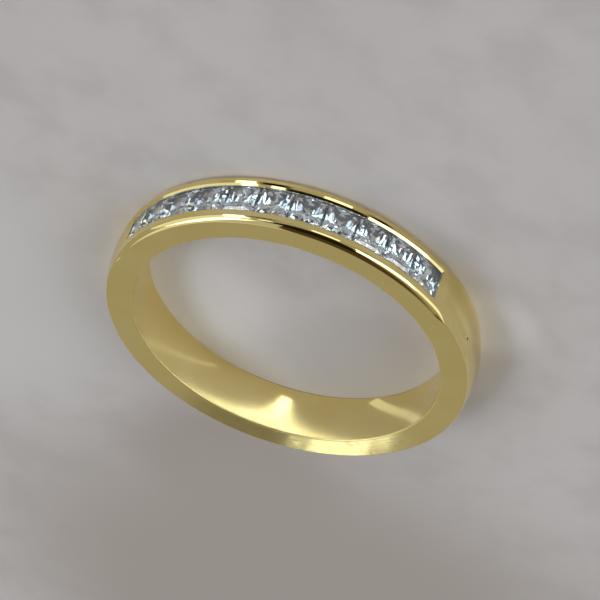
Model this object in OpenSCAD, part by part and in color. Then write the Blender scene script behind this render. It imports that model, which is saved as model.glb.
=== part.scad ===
// Half eternity ring: a polished gold band with a channel of square princess-cut stones over its front.
// The ring lies on its side. Z is the axis of the finger hole, z = 0 is the side face that it rests on,
// and the middle of the row of stones points along -Y.

/* [Band] */
// Inside diameter of the ring, the finger hole
bore_d = 17.0; // [15.7:0.1:20.5]
// Width of the band, along the finger
band_w = 2.95; // [2.85:0.05:3.4]
// Thickness of the band at the crown of its dome
band_t = 1.70; // [1.65:0.05:2.0]
// Radius of the dome across the outside of the band
dome_r = 4.4; // [3.6:0.1:8]
// Rounding of the outer edges of the plain shank
shank_edge_r = 0.10; // [0.05:0.01:0.14]
// Rounding of the outer edges of the rails beside the stones
rail_edge_r = 0.40; // [0.2:0.02:0.42]
// Degrees that this wider rounding runs on past each end of the channel
rail_run = 4; // [1:0.5:8]
// Rounding of the edges of the finger hole
bore_edge_r = 0.08; // [0.05:0.01:0.2]

/* [Stones] */
// Number of stones in the channel
stone_count = 11; // [7:2:13]
// Width of each square stone at its girdle
stone_w = 1.72; // [1.5:0.02:1.74]
// Share of the width that the table takes
table_share = 0.70; // [0.62:0.01:0.76]
// Height of the crown above the girdle
crown_h = 0.17; // [0.12:0.01:0.2]
// Thickness of the girdle
girdle_h = 0.04; // [0.02:0.01:0.06]
// Depth of the pavilion below the girdle
pavilion_h = 0.98; // [0.85:0.01:1.0]
// Gap between the girdles of neighbouring stones
stone_gap = 0.025; // [0.02:0.005:0.05]

/* [Channel] */
// Depth of the tables below the crown of the dome
table_sink = 0.24; // [0.2:0.01:0.28]
// How far each rail reaches over the girdle
rail_grip = 0.06; // [0.04:0.01:0.1]
// Width of the bright-cut bevel along the inner edge of each rail
bevel_w = 0.10; // [0.06:0.01:0.12]
// Slope of that bevel, in degrees from the stones' tables
bevel_slope = 38; // [32:1:45]
// Slope of the gentler bevel between it and the dome, in degrees from the stones' tables
ease_slope = 22; // [18:1:30]
// Clearance between a stone and the metal round it
seat_gap = 0.03; // [0.02:0.005:0.04]
// Slope of the flat cut at each end of the channel
end_slope = 21; // [18:1:35]
// Lean of the flat cuts towards the upper side of the ring
end_lean = 3; // [0:1:8]
// How far the flat cuts reach from the middle of the band
end_reach = 1.21; // [1.05:0.01:1.25]
// Diameter of the hole drilled behind each stone
azure_d = 0.90; // [0.7:0.05:1.0]

/* [Wear] */
// Diameter of the small pit in the polished shoulder
pit_d = 0.12; // [0.06:0.01:0.2]

/* [Hidden] */
function stone_name(i) = str("stone_", i < 10 ? "0" : "", i);
$fn = 96;

gold = "goldenrod";
diamond = "aliceblue";

bore_r = bore_d / 2;
crown_r = bore_r + band_t;
half_w = band_w / 2;
dome_centre_r = crown_r - dome_r;
beyond = 1.0;    // how far a cutter runs past the metal
overlap = 0.002; // how far a rounding stands past the faces it joins, so that it crosses them cleanly

table_r = crown_r - table_sink;
end_r = table_r + 0.02;    // the lower edge of the flat cuts
girdle_top_r = table_r - crown_h;
girdle_mid_r = girdle_top_r - girdle_h / 2;
girdle_low_r = girdle_top_r - girdle_h;
half_stone = stone_w / 2;
pitch = 2 * atan((half_stone + stone_gap / 2) / girdle_low_r);
end_slack = 0.1;   // degrees of free channel past each end stone
half_channel = stone_count * pitch / 2 + end_slack;
run_out_steps = 3;  // steps in which the rails' rounding narrows to the shank's, a degree apart
row_azimuth = -90;  // direction of the middle of the row
function stone_azimuth(i) = row_azimuth + (i - (stone_count + 1) / 2) * pitch;

// Steps of the seat under the stones: half width, and depth below the bottom of the girdle
seat_upper_w = 0.72;
seat_upper_h = 0.42;
seat_floor_w = 0.40;
seat_floor_h = 0.79;

// Pit in the shoulder: degrees from the middle of the row, and height above the band's middle
pit_angle = -76.3;
pit_z = 0.68;
pit_depth = 0.05;

// Pavilion chevrons, from the girdle inwards. Columns: share of the half width that the ridge covers,
// share of the pavilion's depth, degrees between the facets and the stone's diagonal
CHEVRONS = [[0.36, 0.44, 33], [0.33, 0.32, 25], [0.31, 0.24, 12]];
function ridge_in(k) = k == 0 ? 1 : ridge_in(k - 1) - CHEVRONS[k - 1][0];
function ridge_down(k) = k == 0 ? 0 : ridge_down(k - 1) + CHEVRONS[k - 1][1];

break_slope = 62;        // slope of the long thin facets under the girdle
// Slopes of the crown: four facets along the sides, four at the corners and eight between them
crown_rise = crown_h / ((1 - table_share) * half_stone);
crown_side_slope = atan(crown_rise);
crown_corner_slope = atan(0.85 / sqrt(2) * crown_rise);
crown_half_slope = atan(0.66 * crown_rise);
crown_half_turn = 24;    // degrees between the sides and the facets next to them

// Everything on the inner side of a plane through a point, as a large block.
// slope is the tilt of the plane's outward normal from +z, and turn its direction.
module keep_inside(point, slope, turn) {
    block = 6;
    translate(point) rotate([0, slope, turn])
        translate([-block, -block, -2 * block]) cube(2 * block);
}

// One princess-cut stone, table up, with the middle of its girdle at the origin
module princess_cut() {
    top = girdle_h / 2;
    corner = [half_stone, half_stone, top];
    intersection() {
        translate([-half_stone, -half_stone, -2 * stone_w]) cube([stone_w, stone_w, 2 * stone_w + top + crown_h]);
        intersection_for(quarter = [0:3]) rotate([0, 0, 90 * quarter]) intersection() {
            keep_inside([half_stone, 0, top], crown_side_slope, 0);
            keep_inside(corner, crown_corner_slope, 45);
            keep_inside(corner, crown_half_slope, crown_half_turn);
            keep_inside(corner, crown_half_slope, 90 - crown_half_turn);
            keep_inside([half_stone, 0, -top], 180 - break_slope, 0);
            intersection_for(k = [0:len(CHEVRONS) - 1]) chevron(k);
        }
    }
}

// The pair of pavilion facets that meet on step k of the ridge under the stone's corner
module chevron(k) {
    reach = ridge_in(k) * half_stone;
    start = [reach, reach, -girdle_h / 2 - ridge_down(k) * pavilion_h];
    off = CHEVRONS[k][2];
    run = CHEVRONS[k][0] * half_stone * sqrt(2) * cos(off);
    slope = atan(CHEVRONS[k][1] * pavilion_h / run);
    intersection_for(side = [-1, 1])
        keep_inside(start, 180 - slope, 45 + side * off);
}

// Stone number i of the row, in its seat
module stone(i) {
    color(diamond) rotate([0, 0, stone_azimuth(i)])
        translate([girdle_mid_r, 0, half_w]) rotate([90, 0, 90]) princess_cut();
}

// Centre of an edge rounding that touches the dome and the side face. x is the radius, y the height
function edge_centre(r) = [dome_centre_r + sqrt(pow(dome_r - r, 2) - pow(half_w - r, 2)), half_w - r];

// What an outer edge loses to its rounding
module edge_waste(r) {
    c = edge_centre(r);
    out = [c[0] - dome_centre_r, c[1]] / (dome_r - r);
    difference() {
        polygon([c, [c[0], half_w + beyond], [crown_r + beyond, half_w + beyond], c + (r + beyond) * out]);
        translate(c) circle(r + overlap);
    }
}

// What an edge of the finger hole loses to its rounding
module bore_edge_waste() {
    difference() {
        translate([bore_r - beyond, half_w - bore_edge_r]) square([bore_edge_r + beyond, bore_edge_r + beyond]);
        translate([bore_r + bore_edge_r, half_w - bore_edge_r]) circle(bore_edge_r);
    }
}

module both_sides() {
    children();
    mirror([0, 1]) children();
}

// Cross-section of the plain shank, standing on the radius
module shank_section() {
    difference() {
        intersection() {
            translate([dome_centre_r, 0]) circle(dome_r, $fn = 192);
            translate([bore_r, -half_w]) square([band_t + beyond, band_w]);
        }
        both_sides() edge_waste(shank_edge_r);
        both_sides() bore_edge_waste();
    }
}

// Cross-section of the space for the stones: bevels, opening, girdle grooves and seat
module channel_section() {
    opening = half_stone - rail_grip;
    groove = half_stone + 0.8 * seat_gap;
    lip_r = norm([girdle_top_r + rail_grip * crown_rise, opening]) + seat_gap;
    ease_r = table_r + bevel_w * tan(bevel_slope);
    flare = (crown_r + beyond - ease_r) / tan(ease_slope);
    half = [[crown_r + beyond, opening + bevel_w + flare], [ease_r, opening + bevel_w],
            [table_r, opening], [lip_r, opening], [lip_r, groove],
            [girdle_low_r - seat_gap, groove], [girdle_low_r - seat_upper_h, seat_upper_w],
            [girdle_low_r - seat_floor_h, seat_floor_w]];
    other_half = [for (i = [len(half) - 1:-1:0]) [half[i][0], -half[i][1]]];
    polygon(concat(half, other_half));
}

// A section turned about the finger hole, from degree -half_angle to half_angle of the row
module sweep_row(half_angle) {
    translate([0, 0, half_w]) rotate([0, 0, row_azimuth - half_angle])
        rotate_extrude(angle = 2 * half_angle, $fn = 360) children();
}

// The sloping flat cut from the end stone up to the dome of the shoulder. side is -1 or 1
module end_cut(side) {
    translate([0, 0, half_w]) rotate([0, 0, row_azimuth + side * half_channel])
        translate([end_r, 0, 0]) rotate([0, -end_lean, -side * end_slope])
            translate([0, side > 0 ? 0 : -2 * beyond, -end_reach])
                cube([beyond, 2 * beyond, 2 * end_reach]);
}

// The wider rounding of the rails, run out to the shank's rounding in small steps
module rail_rounding() {
    step = (rail_edge_r - shank_edge_r) / run_out_steps;
    for (k = [0:run_out_steps - 1])
        sweep_row(half_channel + rail_run + k) both_sides() edge_waste(rail_edge_r - k * step);
}

// The hole drilled behind stone number i
module azure(i) {
    rotate([0, 0, stone_azimuth(i)]) translate([bore_r - beyond, 0, half_w]) rotate([0, 90, 0])
        cylinder(d = azure_d, h = girdle_low_r - seat_upper_h - bore_r + beyond);
}

module band() {
    color(gold) difference() {
        translate([0, 0, half_w]) rotate_extrude($fn = 360) shank_section();
        rail_rounding();
        sweep_row(half_channel) channel_section();
        for (side = [-1, 1]) end_cut(side);
        for (i = [1:stone_count]) azure(i);
        rotate([0, 0, row_azimuth + pit_angle])
            translate([dome_centre_r + sqrt(dome_r * dome_r - pit_z * pit_z), 0, half_w + pit_z])
                rotate([0, 90, 0]) cylinder(d = pit_d, h = 2 * pit_depth, center = true);
    }
}

band();
for (i = [1:stone_count])
    stone(i);
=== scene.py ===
"""Half eternity ring: the polished band, the diamonds, the floor, the light and the camera."""

import math

import bpy
import numpy as np
from mathutils import Matrix, Vector


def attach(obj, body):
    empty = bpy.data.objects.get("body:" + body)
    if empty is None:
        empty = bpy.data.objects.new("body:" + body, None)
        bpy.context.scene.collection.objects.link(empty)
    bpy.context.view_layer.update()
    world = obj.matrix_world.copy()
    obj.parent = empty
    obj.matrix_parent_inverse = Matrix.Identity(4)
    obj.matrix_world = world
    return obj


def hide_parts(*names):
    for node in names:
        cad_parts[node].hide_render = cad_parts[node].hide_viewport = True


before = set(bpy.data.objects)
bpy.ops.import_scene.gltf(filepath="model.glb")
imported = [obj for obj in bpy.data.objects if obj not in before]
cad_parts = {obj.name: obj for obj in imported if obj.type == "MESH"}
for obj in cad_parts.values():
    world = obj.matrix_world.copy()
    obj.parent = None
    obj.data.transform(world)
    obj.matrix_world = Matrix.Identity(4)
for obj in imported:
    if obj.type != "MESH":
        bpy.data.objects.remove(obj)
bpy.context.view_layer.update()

MM = 0.001

# Sizes of the band in millimetres, as in the part's source
BORE_R = 8.5
BAND_T = 1.70
CROWN_R = BORE_R + BAND_T
HALF_W = 1.475
DOME_R = 4.4
DOME_CENTRE_R = CROWN_R - DOME_R
SHANK_EDGE_R = 0.10
RAIL_EDGE_R = 0.40
BORE_EDGE_R = 0.08

# The row of stones, in millimetres and radians
STONES = 11
HALF_STONE = 0.86
STONE_GAP = 0.025
TABLE_SINK = 0.24
CROWN_H = 0.17
CROWN_RUN = 0.3 * HALF_STONE
GIRDLE_H = 0.04
TABLE_R = CROWN_R - TABLE_SINK
GIRDLE_TOP_R = TABLE_R - CROWN_H
GIRDLE_LOW_R = GIRDLE_TOP_R - GIRDLE_H
PITCH = 2 * math.atan((HALF_STONE + STONE_GAP / 2) / GIRDLE_LOW_R)
END_SLACK = math.radians(0.1)
HALF_CHANNEL = STONES * PITCH / 2 + END_SLACK
ROW_AZIMUTH = -math.pi / 2

# The channel: its opening and bevels, the groove for the girdles, the steps of the seat and the end cuts
RAIL_GRIP = 0.06
BEVEL_W = 0.10
BEVEL_SLOPE = math.radians(38)
EASE_SLOPE = math.radians(22)
SEAT_GAP = 0.03
GROOVE_GAP = 0.8 * SEAT_GAP
SEAT_UPPER_H = 0.42
SEAT_UPPER_R = GIRDLE_LOW_R - SEAT_UPPER_H
SEAT_UPPER_W = 0.72
SEAT_FLOOR_H = 0.79
SEAT_FLOOR_R = GIRDLE_LOW_R - SEAT_FLOOR_H
SEAT_FLOOR_W = 0.40
END_SLOPE = math.radians(21)
END_LEAN = math.radians(3)
END_REACH = 1.21
END_LIFT = 0.02
END_R = TABLE_R + END_LIFT
AZURE_R = 0.45
BEYOND = 0.6    # how far a cutter runs past the metal

# The tiny pit in the shoulder, cut by a ball that meets the dome in a circle of the pit's radius
PIT_AZIMUTH = ROW_AZIMUTH - math.radians(76.3)
PIT_Z = 0.68
PIT_R = 0.06
PIT_SPHERE_R = 0.08

# Where the rails' wider rounding starts to narrow past the channel, and where it has narrowed
RUN_OUT_START = math.radians(2.5)
RUN_OUT_END = math.radians(8.0)

# Steps of half the band's outline, and places of the outline round the ring
WALL_STEPS = 3
BORE_EDGE_STEPS = 6
OUTER_EDGE_STEPS = 12
DOME_STEPS = 20
BAND_PLACES = 400
FIRST_PLACE = 0.37    # in steps between places, which keeps them off the cutters' ends

# The camera in millimetres, from the ring's axis at the resting face. Its clipping is in metres
CAMERA_AT = (-31.216, -98.109, 71.109)
CAMERA_FORWARD = (0.24971, 0.78378, -0.56863)
CAMERA_UP = (0.17618, -0.61421, -0.76923)
CAMERA_LENS = 140.4
CAMERA_SENSOR = 36
CAMERA_CLIP = (0.01, 5)

# Gold. Colours are linear. A pattern is its noise's scale per millimetre and detail, the noise where it
# starts and where it is full, and its values there if they are not 0 and 1
GOLD_COLOUR_DEEP = (0.91, 0.755, 0.325, 1)
GOLD_COLOUR_PALE = (0.94, 0.79, 0.365, 1)
GOLD_CLOUDS = (0.35, 2.0, 0.35, 0.65)
GOLD_WEAR = (1.8, 3.0, 0.4, 0.75, 0.035, 0.07)
# Fine lines from the polishing wheel: how they are drawn out round the ring, their scale and detail,
# the noise where they start and are full with the roughness there, and their bump
LINE_STRETCH = (0.6, 14.0, 14.0)
LINE_NOISE = (1.0, 4.0)
LINE_ROUGHNESS = (0.35, 0.75, 0.0, 0.03)
LINE_BUMP = 0.05
LINE_DEPTH = 0.004 * MM
# The matt seat under the stones: its radii and its distance from the band's middle, each with its fade
SEAT_TOP_FADE = (TABLE_R - 0.05, TABLE_R - 0.02)
SEAT_FLOOR_FADE = (SEAT_UPPER_R, SEAT_UPPER_R + 0.02)
SEAT_SIDE_FADE = (0.89, 0.90)
SEAT_COLOUR = (0.86, 0.92, 1.0, 1)
SEAT_ROUGHNESS = 0.4
# The worn wall of the hole, and the rounded rims of that wall
WALL_FADE = (BORE_R + 0.005, BORE_R + 0.02)
WALL_ROUGHNESS = 0.14
RIM_FADE = (BORE_R + 0.07, BORE_R + 0.10)
RIM_SIDE_FADE = (HALF_W - 0.08, HALF_W - 0.06)
RIM_ROUGHNESS = 0.3
# Tiny nicks in the polished side face, rougher and painted pale as glints, and painted shade in the pit:
# place in millimetres and reach
NICK_AND_GLINT_PLACES = (((-5.856, -6.837, 2.95), 0.05), ((-8.347, -3.991, 2.95), 0.05))
# Painted glints: the nicks' pale colour
NICK_GLINT_COLOUR = (1.0, 0.97, 0.80, 1)
NICK_ROUGHNESS = 0.5
# Painted shade: the pit's hollow is painted dark round its place
PIT_SHADE_SPOT = ((-9.86, -2.40, 2.155), 0.11)
PIT_SHADE_COLOUR = (0.10, 0.08, 0.04, 1)
SPOT_CORE = 0.4    # share of a spot's reach where it is full

# Diamond. Its patterns are written as gold's are, with the scale per metre
DIAMOND_COLOUR_DEEP = (0.87, 0.945, 1.0, 1)
DIAMOND_COLOUR_PALE = (0.91, 0.965, 1.0, 1)
DIAMOND_TRANSMISSION = 0.94
DIAMOND_IOR = 2.417
GRAIN_SCALE = 2.0 / MM
GRAIN_ROUGHNESS = (0.3, 0.8, 0.0, 0.012)
SPECKS = (9.0 / MM, 2.0, 0.70, 0.74)
SPECK_COLOUR = (0.75, 0.77, 0.80, 1)

# The floor, in metres, with its patterns' scale per metre
FLOOR_REACH = 0.6
FLOOR_ROUGHNESS = 0.9
FLOOR_SPECULAR = 0.1
FLOOR_COLOUR_PALE = (0.71, 0.665, 0.68, 1)
FLOOR_COLOUR_DEEP = (0.675, 0.63, 0.643, 1)
FLOOR_COLOUR_VEIN = (0.565, 0.525, 0.53, 1)
FLOOR_PATCHES = (60.0, 3.0, 0.3, 0.7)
FLOOR_VEINS = (260.0, 6.0, 0.42, 0.68, 0.0, 0.45)
# Floor clouds, painted shade and painted light: two darker where shade falls beyond the ring, one darker
# inside it, two paler that cancel the lights' soft shadow inside and beside the ring, and one paler
# beyond it. Centre and reach in metres, and colour
FLOOR_PAINTED_SHADE_AND_LIGHT = (
    # painted shade, darker beyond the ring away from the lights
    ((0.003, 0.035, 0), 0.028, (0.50, 0.445, 0.42, 1)),
    # painted shadow beyond the ring
    ((0.006, 0.018, 0), 0.009, (0.50, 0.44, 0.42, 1)),
    # darker inside the ring
    ((-0.004, 0.005, 0), 0.007, (0.60, 0.555, 0.56, 1)),
    # painted light inside the ring, cancelling the lights' soft shadow
    ((0.0065, 0.001, 0), 0.0065, (0.80, 0.765, 0.80, 1)),
    # painted light beside the ring, cancelling the lights' soft shadow
    ((-0.0102, -0.001, 0), 0.0036, (0.85, 0.81, 0.85, 1)),
    # paler beyond the ring
    ((0.021, 0.004, 0), 0.014, (0.745, 0.715, 0.735, 1)),
)

# The room. Directions are (azimuth, elevation) in degrees, and colours are linear
WALL_COLOUR = (0.36, 0.34, 0.29, 1)
CEILING_COLOUR = (0.066, 0.042, 0.02, 1)
CEILING_FADE = (48, 66)    # degrees of elevation from the wall's colour to the ceiling's
DARK_COLOUR = (0.012, 0.010, 0.008, 1)
SHADE_COLOUR = (0.20, 0.19, 0.16, 1)
# Dark places in the room: centre, degrees that are fully dark and degrees where the dark ends, colour
DARK_PLACES = (
    ((-103, 50), 22, 30, DARK_COLOUR),
    ((-133, 1), 4, 11, DARK_COLOUR),
    ((-73, 3), 5, 11, DARK_COLOUR),
    ((72.3, 30.8), 0.6, 2.4, SHADE_COLOUR),
)

LIGHT_DISTANCE = 3.0
LIGHT_ENERGY = 4    # energy for each square metre of a light of brightness 1
WINDOW_COLOUR = (0.88, 0.96, 1.0)
STONE_LIGHT_COLOUR = (0.60, 0.83, 1.0)
# Name, centre, spread across and up in degrees, brightness and tilt
LIGHTS = (
    ("left_window", (-147, 25), (36, 31), 2.2, 16),
    ("left_glow", (-178, 16.5), (26, 31), 0.65, 16),
    ("low_strip", (-108, 8), (16, 16), 1.0, 0),
    ("small_window", (-71, 34), (7, 8), 1.2, 0),
    ("right_window", (-56, 17), (12, 32), 1.8, 0),
    ("dim_window", (-28, 26), (52, 32), 0.42, 0),
    ("high_window", (-16, 53), (38, 18), 2.2, 0),
    ("high_glow", (-4, 60), (70, 36), 0.35, 0),
    ("back_lamp", (74.95, 31.6), (1.5, 1.6), 1.0, 0),
    ("back_lamp_left", (73.7, 31.4), (0.3, 0.7), 0.8, 0),
    ("back_lamp_right", (76.15, 32.2), (0.4, 0.6), 0.8, 0),
)
# Soft boxes that only the light through the stones sees
STONE_LIGHTS = (
    ("front_fill", (-107, 70), (80, 50), 2.4, 0),
    ("front_glow", (-107, 45), (150, 120), 0.46, 0),
)
# Bright patches by the floor inside the ring, as polished gold throws them there. They show only
# as glints on the wall of the hole. Centre and size in millimetres, and brightness
GLINTS = (
    ("glint_middle", (1.37, 5.4), (0.5, 4.1), 1.7),
    ("glint_right", (-3.4, 6.4), (0.9, 2.5), 0.3),
    ("glint_left", (4.6, 4.8), (0.3, 2.6), 0.2),
)
GLINT_H = 0.1


# Meshes in millimetres. Each corner keeps the normal of the smooth shape that its face stands for

def new_object(name, points, faces, normals=None):
    """A mesh object. normals is one for each corner of each face, or None for flat faces."""
    mesh = bpy.data.meshes.new(name)
    mesh.from_pydata([tuple(p) for p in points], [], faces)
    if normals is None:
        normals = [tuple(face.normal) for face in mesh.polygons for _ in face.vertices]
    layer = mesh.attributes.new("polish", "FLOAT_VECTOR", "CORNER")
    layer.data.foreach_set("vector", np.array(normals, float).ravel())
    obj = bpy.data.objects.new(name, mesh)
    bpy.context.scene.collection.objects.link(obj)
    return obj


def swept(name, points, normals, closed):
    """A closed outline in several places. points and normals are arrays [place, corner, side, xyz]:
    corner j starts at side 0 with the edge to corner j + 1, and at side 1 ends the edge before it."""
    places, count = points.shape[:2]
    faces, corner_normals = [], []
    for i in range(places if closed else places - 1):
        k = (i + 1) % places
        for j in range(count):
            m = (j + 1) % count
            faces.append((i * count + j, k * count + j, k * count + m, i * count + m))
            corner_normals += [normals[i, j, 0], normals[k, j, 0], normals[k, m, 1], normals[i, m, 1]]
    if not closed:
        for i, order in ((0, range(count)), (places - 1, range(count - 1, -1, -1))):
            ring = [i * count + j for j in order]
            corners = [Vector(points[i, j]) for j in order]
            faces.append(tuple(ring))
            flat = (corners[1] - corners[0]).cross(corners[2] - corners[1]).normalized()
            corner_normals += [tuple(flat)] * count
    return new_object(name, points.reshape(-1, 3), faces, corner_normals)


def turned(section, azimuth):
    """Pairs of (radius, height) as directions or places at an azimuth round the ring."""
    radius, height = np.asarray(section, float).T
    return np.stack([radius * math.cos(azimuth), radius * math.sin(azimuth), height], 1)


# The band. A point of its section is (radius, height above the middle of the band)

def arc(centre, radius, start, end, steps):
    """Points of an arc and their normals, its angles from the outward radius."""
    angles = np.linspace(start, end, steps + 1)
    out = np.stack([np.cos(angles), np.sin(angles)], 1)
    return np.array(centre) + radius * out, out


def band_section(edge_r):
    """The band's outline, from the inner wall over the upper side face to the dome and back below."""
    reach = math.sqrt((DOME_R - edge_r) ** 2 - (HALF_W - edge_r) ** 2)
    edge_centre = (DOME_CENTRE_R + reach, HALF_W - edge_r)
    meet = math.asin((HALF_W - edge_r) / (DOME_R - edge_r))
    bore_centre = (BORE_R + BORE_EDGE_R, HALF_W - BORE_EDGE_R)
    wall = np.array([(BORE_R, z) for z in np.linspace(0, bore_centre[1], WALL_STEPS + 1)[:-1]])
    inner = arc(bore_centre, -BORE_EDGE_R, 0, -math.pi / 2, BORE_EDGE_STEPS)
    outer = arc(edge_centre, edge_r, math.pi / 2, meet, OUTER_EDGE_STEPS)
    dome = arc((DOME_CENTRE_R, 0), DOME_R, meet, 0, DOME_STEPS)
    wall_normals = np.tile((-1.0, 0.0), (len(wall), 1))
    points = np.concatenate([wall, inner[0], outer[0], dome[0][1:]])
    normals = np.concatenate([wall_normals, -inner[1], outer[1], dome[1][1:]])
    below = slice(-2, 0, -1)
    flip = np.array([1, -1])
    return tuple(np.concatenate([upper, upper[below] * flip]) for upper in (points, normals))


def edge_radius(azimuth):
    """Radius of the outer edges: wide along the stones, narrow on the shank, and smooth between."""
    off_row = abs((azimuth - ROW_AZIMUTH + math.pi) % (2 * math.pi) - math.pi)
    run = (off_row - HALF_CHANNEL - RUN_OUT_START) / (RUN_OUT_END - RUN_OUT_START)
    run = min(max(run, 0.0), 1.0)
    return RAIL_EDGE_R + (SHANK_EDGE_R - RAIL_EDGE_R) * run * run * (3 - 2 * run)


def band_place(azimuth):
    """Points and normals of the band's outline at an azimuth, its edges widening along the ring."""
    section, section_normals = band_section(edge_radius(azimuth))
    step = 1e-4
    before = turned(band_section(edge_radius(azimuth - step))[0], azimuth - step)
    after = turned(band_section(edge_radius(azimuth + step))[0], azimuth + step)
    tangent = turned(np.stack([-section_normals[:, 1], section_normals[:, 0]], 1), azimuth)
    normals = np.cross(after - before, tangent)
    normals /= np.linalg.norm(normals, axis=1)[:, None]
    return turned(section, azimuth) + (0, 0, HALF_W), normals


def uncut_band():
    azimuths = (np.arange(BAND_PLACES) + FIRST_PLACE) * 2 * math.pi / BAND_PLACES
    places = [band_place(azimuth) for azimuth in azimuths]
    points = np.array([p for p, n in places])
    normals = np.array([np.stack([n, n], 1) for p, n in places])
    return swept("gold_band", points, normals, closed=True)


def channel_outline():
    """Corners of the space for the stones: bevels, opening, girdle grooves and seat."""
    opening = HALF_STONE - RAIL_GRIP
    groove = HALF_STONE + GROOVE_GAP
    lip_r = math.hypot(GIRDLE_TOP_R + RAIL_GRIP * CROWN_H / CROWN_RUN, opening) + SEAT_GAP
    top_r = CROWN_R + BEYOND
    ease_r = TABLE_R + BEVEL_W * math.tan(BEVEL_SLOPE)
    flare = (top_r - ease_r) / math.tan(EASE_SLOPE)
    half = [(top_r, opening + BEVEL_W + flare), (ease_r, opening + BEVEL_W),
            (TABLE_R, opening), (lip_r, opening), (lip_r, groove),
            (GIRDLE_LOW_R - SEAT_GAP, groove), (SEAT_UPPER_R, SEAT_UPPER_W),
            (SEAT_FLOOR_R, SEAT_FLOOR_W)]
    return np.array(half + [(r, -z) for r, z in reversed(half)])


def channel_cutter(steps=144):
    """The space for the stones, run along the row."""
    outline = channel_outline()
    along = np.roll(outline, -1, axis=0) - outline
    across = np.stack([along[:, 1], -along[:, 0]], 1) / np.linalg.norm(along, axis=1)[:, None]
    azimuths = ROW_AZIMUTH + np.linspace(-HALF_CHANNEL, HALF_CHANNEL, steps + 1)
    points = np.array([turned(outline, a) + (0, 0, HALF_W) for a in azimuths])
    normals = np.array([np.stack([turned(across, a), turned(np.roll(across, 1, axis=0), a)], 1)
                        for a in azimuths])
    return swept("channel_cutter", points, normals, closed=False)


def at_azimuth(azimuth, radius, height):
    """Stands at a place round the ring with x outwards, y along the row and z up."""
    return Matrix.Rotation(azimuth, 4, "Z") @ Matrix.Translation((radius, 0, height))


def stone_azimuth(i):
    return ROW_AZIMUTH + (i - (STONES + 1) / 2) * PITCH


def azure_cutter(i, sides=64):
    """The round hole behind stone i."""
    place = at_azimuth(stone_azimuth(i), BORE_R - BEYOND, HALF_W) @ Matrix.Rotation(math.pi / 2, 4, "Y")
    height = SEAT_UPPER_R - BORE_R + BEYOND
    turn = np.arange(sides) * 2 * math.pi / sides
    rim = [Vector((math.cos(a), math.sin(a), 0)) for a in turn]
    points = np.array([[place @ (AZURE_R * p + Vector((0, 0, h))) for p in rim] for h in (height, 0)])
    out = np.array([place.to_3x3() @ p for p in rim])
    normals = np.array([np.stack([out, out], 1)] * 2)
    return swept("azure_cutter", points, normals, closed=False)


def box_cutter(name, place, low, high):
    """A box between two corners, put in place."""
    points = [place @ Vector((x, y, z)) for x in (low[0], high[0]) for y in (low[1], high[1])
              for z in (low[2], high[2])]
    faces = [(0, 1, 3, 2), (4, 6, 7, 5), (0, 4, 5, 1), (2, 3, 7, 6), (0, 2, 6, 4), (1, 5, 7, 3)]
    return new_object(name, points, faces)


def end_cutter(side):
    """The flat cut from the last stone up to the dome. side is -1 or 1."""
    place = (at_azimuth(ROW_AZIMUTH + side * HALF_CHANNEL, END_R, HALF_W)
             @ Matrix.Rotation(-side * END_SLOPE, 4, "Z") @ Matrix.Rotation(-END_LEAN, 4, "Y"))
    ends = sorted((0, side * 2 * BEYOND))
    return box_cutter("end_cutter", place, (0, ends[0], -END_REACH), (BEYOND, ends[1], END_REACH))


def pit_cutter(rings=10, sides=20):
    """A small ball that leaves the pit in the shoulder."""
    dome_r = DOME_CENTRE_R + math.sqrt(DOME_R ** 2 - PIT_Z ** 2)
    lift = math.sqrt(PIT_SPHERE_R ** 2 - PIT_R ** 2)
    centre = Vector(at_azimuth(PIT_AZIMUTH, dome_r + lift, HALF_W + PIT_Z).translation)
    down = np.linspace(0, math.pi, rings + 1)[1:-1]
    turn = np.arange(sides) * 2 * math.pi / sides
    out = np.array([[(math.sin(d) * math.cos(t), math.sin(d) * math.sin(t), math.cos(d)) for t in turn]
                    for d in down])
    normals = np.stack([out, out], 2)
    return swept("pit_cutter", np.array(centre) + PIT_SPHERE_R * out, normals, closed=False)


def cut(obj, cutters):
    """Takes the cutters out of an object's mesh, and removes them."""
    for cutter in cutters:
        change = obj.modifiers.new("cut", "BOOLEAN")
        change.operation = "DIFFERENCE"
        change.solver = "EXACT"
        change.object = cutter
    graph = bpy.context.evaluated_depsgraph_get()
    mesh = bpy.data.meshes.new_from_object(obj.evaluated_get(graph))
    obj.modifiers.clear()
    obj.data = mesh
    for cutter in cutters:
        bpy.data.objects.remove(cutter)


def polish_normals(mesh):
    """Shades each face with the normals kept from the smooth shapes, turned outwards."""
    kept = np.empty(len(mesh.loops) * 3)
    mesh.attributes["polish"].data.foreach_get("vector", kept)
    kept = kept.reshape(-1, 3)
    for face in mesh.polygons:
        flat = np.array(face.normal)
        corners = list(face.loop_indices)
        kept[corners] *= np.sign(kept[corners] @ flat)[:, None]
    kept /= np.linalg.norm(kept, axis=1)[:, None]
    mesh.attributes.remove(mesh.attributes["polish"])
    mesh.polygons.foreach_set("use_smooth", np.ones(len(mesh.polygons), bool))
    mesh.normals_split_custom_set([tuple(n) for n in kept])


def build_band():
    """The gold band with its channel, end cuts, holes behind the stones and pit."""
    band = uncut_band()
    cutters = [channel_cutter(), pit_cutter()] + [end_cutter(side) for side in (-1, 1)]
    cutters += [azure_cutter(i) for i in range(1, STONES + 1)]
    cut(band, cutters)
    polish_normals(band.data)
    band.data.transform(Matrix.Scale(MM, 4))
    return band


# Materials

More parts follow.
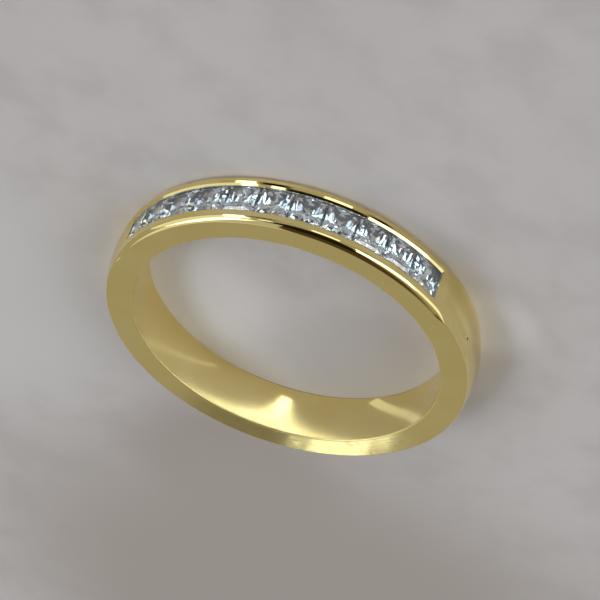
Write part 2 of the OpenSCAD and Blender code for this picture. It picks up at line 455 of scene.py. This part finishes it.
def new_material(name):
    """A material with one Principled shader, and its node tree."""
    material = bpy.data.materials.new(name)
    material.use_nodes = True
    tree = material.node_tree
    tree.nodes.clear()
    output = tree.nodes.new("ShaderNodeOutputMaterial")
    shader = tree.nodes.new("ShaderNodeBsdfPrincipled")
    tree.links.new(shader.outputs["BSDF"], output.inputs["Surface"])
    return material, tree, shader


def plug(tree, socket, value):
    """Links an output or sets a constant."""
    if isinstance(value, bpy.types.NodeSocket):
        tree.links.new(value, socket)
    else:
        socket.default_value = value


def calculate(tree, operation, *values):
    """A sum or other calculation on single numbers."""
    node = tree.nodes.new("ShaderNodeMath")
    node.operation = operation
    for socket, value in zip(node.inputs, values):
        plug(tree, socket, value)
    return node.outputs[0]


def product(tree, one, other):
    return calculate(tree, "MULTIPLY", one, other)


def vector_node(tree, operation, vector, constant):
    """A calculation on a vector and a constant one."""
    node = tree.nodes.new("ShaderNodeVectorMath")
    node.operation = operation
    node.inputs[1].default_value = constant
    tree.links.new(vector, node.inputs[0])
    return node


def vector_parts(tree, vector):
    node = tree.nodes.new("ShaderNodeSeparateXYZ")
    tree.links.new(vector, node.inputs[0])
    return node.outputs


def ramp(tree, value, start, end, low=0.0, high=1.0):
    """low below start, high above end, and smooth between."""
    node = tree.nodes.new("ShaderNodeMapRange")
    node.interpolation_type = "SMOOTHSTEP"
    for name, number in (("Value", value), ("From Min", start), ("From Max", end),
                         ("To Min", low), ("To Max", high)):
        plug(tree, node.inputs[name], number)
    return node.outputs["Result"]


def fall(tree, value, start, end):
    """1 below start, 0 above end, and smooth between."""
    return ramp(tree, value, start, end, 1.0, 0.0)


def mixed(tree, share, one, other):
    """The colour one, or the other as share goes to 1."""
    node = tree.nodes.new("ShaderNodeMix")
    node.data_type = "RGBA"
    plug(tree, node.inputs["Factor"], share)
    colours = [socket for socket in node.inputs if socket.type == "RGBA"]
    plug(tree, colours[0], one)
    plug(tree, colours[1], other)
    return [socket for socket in node.outputs if socket.type == "RGBA"][0]


def noise(tree, place, scale, detail=2.0):
    node = tree.nodes.new("ShaderNodeTexNoise")
    node.inputs["Scale"].default_value = scale
    node.inputs["Detail"].default_value = detail
    tree.links.new(place, node.inputs["Vector"])
    return node.outputs["Fac"]


def pattern(tree, place, scale, detail, start, end, low=0.0, high=1.0):
    """Noise as a ramp: low where the noise is below start, and high where it is above end."""
    return ramp(tree, noise(tree, place, scale, detail), start, end, low, high)


def object_place(tree):
    return tree.nodes.new("ShaderNodeTexCoord").outputs["Object"]


def stretched(tree, place, factors):
    return vector_node(tree, "MULTIPLY", place, factors).outputs[0]


def spot(tree, position, centre, reach):
    """1 at a place, falling to 0 at its reach."""
    distance = vector_node(tree, "DISTANCE", position, centre).outputs["Value"]
    return fall(tree, distance, SPOT_CORE * reach, reach)


def ring_coordinates(tree):
    """Places on the ring in millimetres: the position, the radius, the height above the middle, and the
    place unrolled, whose first part runs round the ring and whose others run across it."""
    position = stretched(tree, object_place(tree), (1 / MM, 1 / MM, 1 / MM))
    x, y, z = vector_parts(tree, position)
    radius = calculate(tree, "SQRT", calculate(tree, "ADD", product(tree, x, x), product(tree, y, y)))
    height = calculate(tree, "SUBTRACT", z, HALF_W)
    around = product(tree, calculate(tree, "ARCTAN2", y, x), CROWN_R)
    unrolled = tree.nodes.new("ShaderNodeCombineXYZ")
    for socket, value in zip(unrolled.inputs, (around, radius, height)):
        tree.links.new(value, socket)
    return position, radius, height, unrolled.outputs[0]


def worn_places(tree, radius, height):
    """Shares of the seat under the stones, the wall of the hole and the rims of that wall."""
    across = calculate(tree, "ABSOLUTE", height)
    seat_depth = product(tree, fall(tree, radius, *SEAT_TOP_FADE), ramp(tree, radius, *SEAT_FLOOR_FADE))
    seat = product(tree, seat_depth, fall(tree, across, *SEAT_SIDE_FADE))
    wall = fall(tree, radius, *WALL_FADE)
    rim = product(tree, fall(tree, radius, *RIM_FADE), ramp(tree, across, *RIM_SIDE_FADE))
    return seat, wall, rim


def bumped(tree, height):
    """The surface's normal over the faintest bumps."""
    bump = tree.nodes.new("ShaderNodeBump")
    bump.inputs["Strength"].default_value = LINE_BUMP
    bump.inputs["Distance"].default_value = LINE_DEPTH
    tree.links.new(height, bump.inputs["Height"])
    return bump.outputs["Normal"]


def gold_material():
    """Polished yellow gold with fine lines, matt seats, a worn hole, painted shade in the pit and
    painted glints on a few nicks.
    """
    material, tree, shader = new_material("gold")
    position, radius, height, unrolled = ring_coordinates(tree)
    seat, wall, rim = worn_places(tree, radius, height)
    lines = noise(tree, stretched(tree, unrolled, LINE_STRETCH), *LINE_NOISE)
    # Spots at the nicks: rougher, with painted glints in their pale colour
    nick_and_glint_spots = [spot(tree, position, *nick_and_glint) for nick_and_glint in NICK_AND_GLINT_PLACES]

    colour = mixed(tree, pattern(tree, position, *GOLD_CLOUDS), GOLD_COLOUR_DEEP, GOLD_COLOUR_PALE)
    # The seat's own colour, and painted shade that darkens the pit's hollow
    seat_colour_and_pit_shade = [(seat, SEAT_COLOUR), (spot(tree, position, *PIT_SHADE_SPOT), PIT_SHADE_COLOUR)]
    for share, shade in seat_colour_and_pit_shade + [(nick_and_glint, NICK_GLINT_COLOUR) for nick_and_glint in nick_and_glint_spots]:
        colour = mixed(tree, share, colour, shade)

    roughness = calculate(tree, "ADD", ramp(tree, lines, *LINE_ROUGHNESS),
                          pattern(tree, position, *GOLD_WEAR))
    matt = [(seat, SEAT_ROUGHNESS), (wall, WALL_ROUGHNESS), (rim, RIM_ROUGHNESS)]
    for share, added in matt + [(nick_and_glint, NICK_ROUGHNESS) for nick_and_glint in nick_and_glint_spots]:
        roughness = calculate(tree, "ADD", roughness, product(tree, share, added))

    tree.links.new(bumped(tree, lines), shader.inputs["Normal"])
    tree.links.new(colour, shader.inputs["Base Color"])
    tree.links.new(roughness, shader.inputs["Roughness"])
    shader.inputs["Metallic"].default_value = 1.0
    return material


def diamond_material():
    """Clear diamond with the faintest grain in its polish and a few tiny grey inclusions."""
    material, tree, shader = new_material("diamond")
    place = object_place(tree)
    grain = noise(tree, place, GRAIN_SCALE)
    clear = mixed(tree, grain, DIAMOND_COLOUR_DEEP, DIAMOND_COLOUR_PALE)
    colour = mixed(tree, pattern(tree, place, *SPECKS), clear, SPECK_COLOUR)
    tree.links.new(colour, shader.inputs["Base Color"])
    tree.links.new(ramp(tree, grain, *GRAIN_ROUGHNESS), shader.inputs["Roughness"])
    shader.inputs["Transmission Weight"].default_value = DIAMOND_TRANSMISSION
    shader.inputs["IOR"].default_value = DIAMOND_IOR
    return material


def floor_material():
    """Plain pale grey stone, a little mottled and veined, with painted shade and painted light in a few
    faint clouds.
    """
    material, tree, shader = new_material("floor")
    place = object_place(tree)
    colour = mixed(tree, pattern(tree, place, *FLOOR_PATCHES), FLOOR_COLOUR_DEEP, FLOOR_COLOUR_PALE)
    colour = mixed(tree, pattern(tree, place, *FLOOR_VEINS), colour, FLOOR_COLOUR_VEIN)
    # Painted shade and painted light: the clouds darken and lighten the floor's colour
    for centre, reach, shade in FLOOR_PAINTED_SHADE_AND_LIGHT:
        colour = mixed(tree, spot(tree, place, centre, reach), colour, shade)
    tree.links.new(colour, shader.inputs["Base Color"])
    shader.inputs["Roughness"].default_value = FLOOR_ROUGHNESS
    shader.inputs["Specular IOR Level"].default_value = FLOOR_SPECULAR
    return material


# The studio. Directions are (azimuth, elevation) in degrees from the ring

def direction(azimuth, elevation):
    a, e = math.radians(azimuth), math.radians(elevation)
    return Vector((math.cos(a) * math.cos(e), math.sin(a) * math.cos(e), math.sin(e)))


def build_floor():
    low, high = -FLOOR_REACH, FLOOR_REACH
    points = [(low, low, 0), (high, low, 0), (high, high, 0), (low, high, 0)]
    floor = new_object("floor", points, [(0, 1, 2, 3)])
    floor.data.materials.append(floor_material())


def area_light(name, width, height, brightness, place):
    """A rectangle of one brightness, which shines towards its own -z."""
    data = bpy.data.lights.new(name, "AREA")
    data.shape = "RECTANGLE"
    data.size, data.size_y = width, height
    data.energy = LIGHT_ENERGY * width * height * brightness
    data.color = WINDOW_COLOUR
    light = bpy.data.objects.new(name, data)
    light.matrix_world = place
    bpy.context.scene.collection.objects.link(light)
    return light


def soft_light(name, centre, spread, brightness, tilt):
    """A soft box that covers the spread of degrees, across and up, round the centre direction."""
    way = direction(*centre)
    width, height = [2 * LIGHT_DISTANCE * math.tan(math.radians(s / 2)) for s in spread]
    turn = way.to_track_quat("Z", "Y").to_matrix() @ Matrix.Rotation(math.radians(tilt), 3, "Z")
    place = Matrix.Translation(way * LIGHT_DISTANCE) @ turn.to_4x4()
    return area_light(name, width, height, brightness, place)


def stone_light(*box):
    """A soft box that neither the gold's mirrors nor the matt floor sees."""
    light = soft_light(*box)
    light.data.color = STONE_LIGHT_COLOUR
    light.visible_glossy = light.visible_diffuse = False


def glint(name, centre, size, brightness):
    """A patch just over the floor that shines up, and that only mirrors show."""
    above = Matrix.Translation((centre[0] * MM, centre[1] * MM, GLINT_H * MM))
    upwards = Matrix.Rotation(math.pi, 4, "X")
    light = area_light(name, size[0] * MM, size[1] * MM, brightness, above @ upwards)
    light.visible_camera = light.visible_diffuse = False


def facing(tree, way, centre, inner, outer):
    """1 up to inner degrees from the centre direction, falling to 0 at outer degrees."""
    toward = vector_node(tree, "DOT_PRODUCT", way, direction(*centre)).outputs["Value"]
    return ramp(tree, toward, math.cos(math.radians(outer)), math.cos(math.radians(inner)))


def build_world():
    """Grey walls that darken towards the ceiling, with the dark places of the room."""
    world = bpy.data.worlds.new("studio")
    world.use_nodes = True
    tree = world.node_tree
    way = tree.nodes.new("ShaderNodeTexCoord").outputs["Generated"]
    start, end = [math.sin(math.radians(elevation)) for elevation in CEILING_FADE]
    up = ramp(tree, vector_parts(tree, way)["Z"], start, end)
    colour = mixed(tree, up, WALL_COLOUR, CEILING_COLOUR)
    for centre, inner, outer, shade in DARK_PLACES:
        colour = mixed(tree, facing(tree, way, centre, inner, outer), colour, shade)
    tree.links.new(colour, tree.nodes["Background"].inputs["Color"])
    bpy.context.scene.world = world


def build_camera():
    forward, up = Vector(CAMERA_FORWARD).normalized(), Vector(CAMERA_UP).normalized()
    right = forward.cross(up).normalized()
    up = right.cross(forward)
    turn = Matrix((right, up, -forward)).transposed()
    data = bpy.data.cameras.new("camera")
    data.sensor_width = CAMERA_SENSOR
    data.lens = CAMERA_LENS
    data.clip_start, data.clip_end = CAMERA_CLIP
    camera = bpy.data.objects.new("camera", data)
    camera.matrix_world = Matrix.Translation(Vector(CAMERA_AT) * MM) @ turn.to_4x4()
    bpy.context.scene.collection.objects.link(camera)
    bpy.context.scene.camera = camera


band = build_band()
band.data.materials.clear()
band.data.materials.append(gold_material())
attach(band, "root")
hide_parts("band")

diamond = diamond_material()
for i in range(1, STONES + 1):
    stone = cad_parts["stone_%02d" % i]
    stone.data.materials.clear()
    stone.data.materials.append(diamond)

build_floor()
build_world()
for box in LIGHTS:
    soft_light(*box)
for box in STONE_LIGHTS:
    stone_light(*box)
for patch in GLINTS:
    glint(*patch)
build_camera()

bpy.context.scene.view_settings.view_transform = "Standard"
